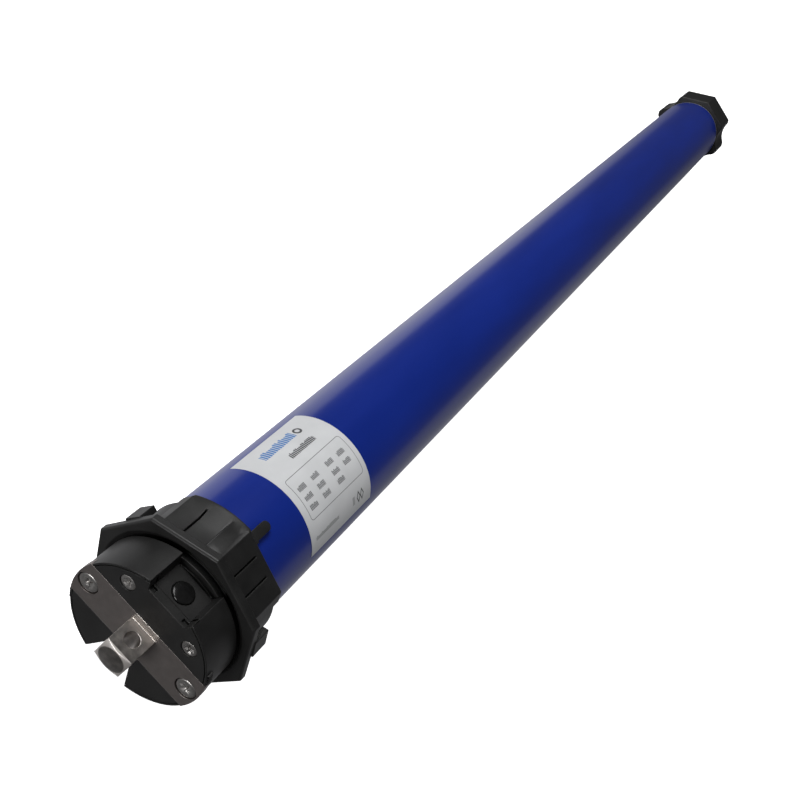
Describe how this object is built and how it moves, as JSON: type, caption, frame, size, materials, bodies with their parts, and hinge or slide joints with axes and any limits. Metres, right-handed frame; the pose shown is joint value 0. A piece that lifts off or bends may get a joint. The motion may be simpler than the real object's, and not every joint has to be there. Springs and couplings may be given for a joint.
{
  "type": "tubular motor for a roller shutter",
  "caption": "Tubular gear motor with a square mounting stud on a round head, an octagonal crown with a locking tab, a painted steel tube and an octagonal drive wheel.",
  "frame": {"origin": "centre of the bracket plate's front face, on the motor's axis", "axes": "+X along the motor from the head to the drive wheel, +Z towards the setting button in the head"},
  "size_m": [0.682, 0.0624, 0.0624],
  "materials": {
    "bracket_steel": "satin brownish grey plated sheet",
    "stud_steel": "satin nickel on machined bar",
    "screw_steel": "zinc plated",
    "black_plastic": "fine moulded grain, satin",
    "button_gloss": "polished",
    "grey_plastic": "moulded",
    "pale_plastic": "natural acetal",
    "relay_plastic": "moulded case",
    "rubber": "soft, matt",
    "tube_paint": "satin powder coat",
    "label": "printed film",
    "board": "solder mask",
    "capacitor_can": "drawn can",
    "cast_alloy": "die cast",
    "machined_steel": "turned",
    "gear_steel": "sintered",
    "lamination_steel": "stacked sheet",
    "copper": "enamelled wire",
    "friction_lining": "moulded lining on a steel disc",
    "bronze": "sintered bush"
  },
  "bodies": {
    "motor": {"bracket_plate": "bracket_steel", "mounting_stud": "stud_steel", "plate_screws": "screw_steel", "front_cap": "black_plastic", "cap_screws": "screw_steel", "head_housing": "black_plastic", "button_insert": "black_plastic", "push_switch": "grey_plastic", "switch_board": "board", "cable_grommet": "rubber", "sensor_carrier": "pale_plastic", "sensor_board": "board", "neck_sleeve": "black_plastic", "motor_tube": "tube_paint", "type_label": "label", "tube_screws": "screw_steel", "board_tray": "grey_plastic", "control_board": "board", "relays": "relay_plastic", "transformer": "copper", "terminal_block": "grey_plastic", "radio_module": "board", "run_capacitor": "capacitor_can", "capacitor_sleeve": "rubber", "front_shield": "cast_alloy", "rear_shield": "cast_alloy", "shaft_bearings": "machined_steel", "stator_core": "lamination_steel", "stator_windings": "copper", "thermal_switch": "pale_plastic", "brake_magnet": "machined_steel", "brake_coil": "copper", "brake_end_plate": "machined_steel", "gearbox_flange": "cast_alloy", "ring_gear": "gear_steel", "output_housing": "cast_alloy", "output_bushes": "bronze"},
    "button": {"button": "button_gloss"},
    "crown": {"crown_adapter": "black_plastic", "running_ring": "black_plastic"},
    "sensor": {"sensor_pinion": "pale_plastic"},
    "armature": {"brake_armature": "machined_steel", "brake_springs": "machined_steel"},
    "rotor": {"rotor_core": "lamination_steel", "rotor_shaft": "machined_steel", "brake_disc": "friction_lining"},
    "first_carrier": {"carrier_1": "gear_steel"},
    "second_carrier": {"carrier_2": "gear_steel"},
    "output": {"output_carrier": "machined_steel", "drive_wheel": "black_plastic", "wheel_fixing": "screw_steel"},
    "planet_1a": {"planet_1a": "gear_steel"},
    "planet_1b": {"planet_1b": "gear_steel"},
    "planet_1c": {"planet_1c": "gear_steel"},
    "planet_2a": {"planet_2a": "gear_steel"},
    "planet_2b": {"planet_2b": "gear_steel"},
    "planet_2c": {"planet_2c": "gear_steel"},
    "planet_3a": {"planet_3a": "gear_steel"},
    "planet_3b": {"planet_3b": "gear_steel"},
    "planet_3c": {"planet_3c": "gear_steel"}
  },
  "joints": [
    {"name": "button_press", "type": "slide", "parent": "motor", "child": "button", "axis": [0, 0, -1], "range_m": [0, 0.0008], "stiffness_N_per_m": 400, "springref_m": -0.001},
    {"name": "crown_spin", "type": "hinge", "parent": "motor", "child": "crown", "pos_m": [0.026, 0, 0], "axis": [1, 0, 0], "continuous": true},
    {"name": "sensor_spin", "type": "hinge", "parent": "motor", "child": "sensor", "pos_m": [0.022, 0.01344, 0], "axis": [1, 0, 0], "continuous": true},
    {"name": "armature_pull", "type": "slide", "parent": "motor", "child": "armature", "axis": [-1, 0, 0], "range_m": [0, 0.0004], "stiffness_N_per_m": 5000, "springref_m": -0.002},
    {"name": "rotor_spin", "type": "hinge", "parent": "motor", "child": "rotor", "pos_m": [0.35, 0, 0], "axis": [1, 0, 0], "continuous": true},
    {"name": "carrier_1_spin", "type": "hinge", "parent": "motor", "child": "first_carrier", "pos_m": [0.4825, 0, 0], "axis": [1, 0, 0], "continuous": true},
    {"name": "carrier_2_spin", "type": "hinge", "parent": "motor", "child": "second_carrier", "pos_m": [0.505, 0, 0], "axis": [1, 0, 0], "continuous": true},
    {"name": "output_spin", "type": "hinge", "parent": "motor", "child": "output", "pos_m": [0.6, 0, 0], "axis": [1, 0, 0], "continuous": true},
    {"name": "planet_1a_spin", "type": "hinge", "parent": "first_carrier", "child": "planet_1a", "pos_m": [0.474, 0.01155, 0], "axis": [1, 0, 0], "continuous": true},
    {"name": "planet_1b_spin", "type": "hinge", "parent": "first_carrier", "child": "planet_1b", "pos_m": [0.474, -0.00577, 0.01], "axis": [1, 0, 0], "continuous": true},
    {"name": "planet_1c_spin", "type": "hinge", "parent": "first_carrier", "child": "planet_1c", "pos_m": [0.474, -0.00577, -0.01], "axis": [1, 0, 0], "continuous": true},
    {"name": "planet_2a_spin", "type": "hinge", "parent": "second_carrier", "child": "planet_2a", "pos_m": [0.494, 0.01155, 0], "axis": [1, 0, 0], "continuous": true},
    {"name": "planet_2b_spin", "type": "hinge", "parent": "second_carrier", "child": "planet_2b", "pos_m": [0.494, -0.00577, 0.01], "axis": [1, 0, 0], "continuous": true},
    {"name": "planet_2c_spin", "type": "hinge", "parent": "second_carrier", "child": "planet_2c", "pos_m": [0.494, -0.00577, -0.01], "axis": [1, 0, 0], "continuous": true},
    {"name": "planet_3a_spin", "type": "hinge", "parent": "output", "child": "planet_3a", "pos_m": [0.521, 0.01155, 0], "axis": [1, 0, 0], "continuous": true},
    {"name": "planet_3b_spin", "type": "hinge", "parent": "output", "child": "planet_3b", "pos_m": [0.521, -0.00577, 0.01], "axis": [1, 0, 0], "continuous": true},
    {"name": "planet_3c_spin", "type": "hinge", "parent": "output", "child": "planet_3c", "pos_m": [0.521, -0.00577, -0.01], "axis": [1, 0, 0], "continuous": true}
  ],
  "couplings": [
    {"joint": "sensor_spin", "follows": "crown_spin", "ratio": 3},
    {"joint": "carrier_1_spin", "follows": "rotor_spin", "ratio": 0.18182},
    {"joint": "carrier_2_spin", "follows": "rotor_spin", "ratio": 0.033058},
    {"joint": "output_spin", "follows": "rotor_spin", "ratio": 0.0060105},
    {"joint": "planet_1a_spin", "follows": "rotor_spin", "ratio": -0.46753},
    {"joint": "planet_1b_spin", "follows": "rotor_spin", "ratio": -0.46753},
    {"joint": "planet_1c_spin", "follows": "rotor_spin", "ratio": -0.46753},
    {"joint": "planet_2a_spin", "follows": "rotor_spin", "ratio": -0.085006},
    {"joint": "planet_2b_spin", "follows": "rotor_spin", "ratio": -0.085006},
    {"joint": "planet_2c_spin", "follows": "rotor_spin", "ratio": -0.085006},
    {"joint": "planet_3a_spin", "follows": "rotor_spin", "ratio": -0.015456},
    {"joint": "planet_3b_spin", "follows": "rotor_spin", "ratio": -0.015456},
    {"joint": "planet_3c_spin", "follows": "rotor_spin", "ratio": -0.015456}
  ]
}
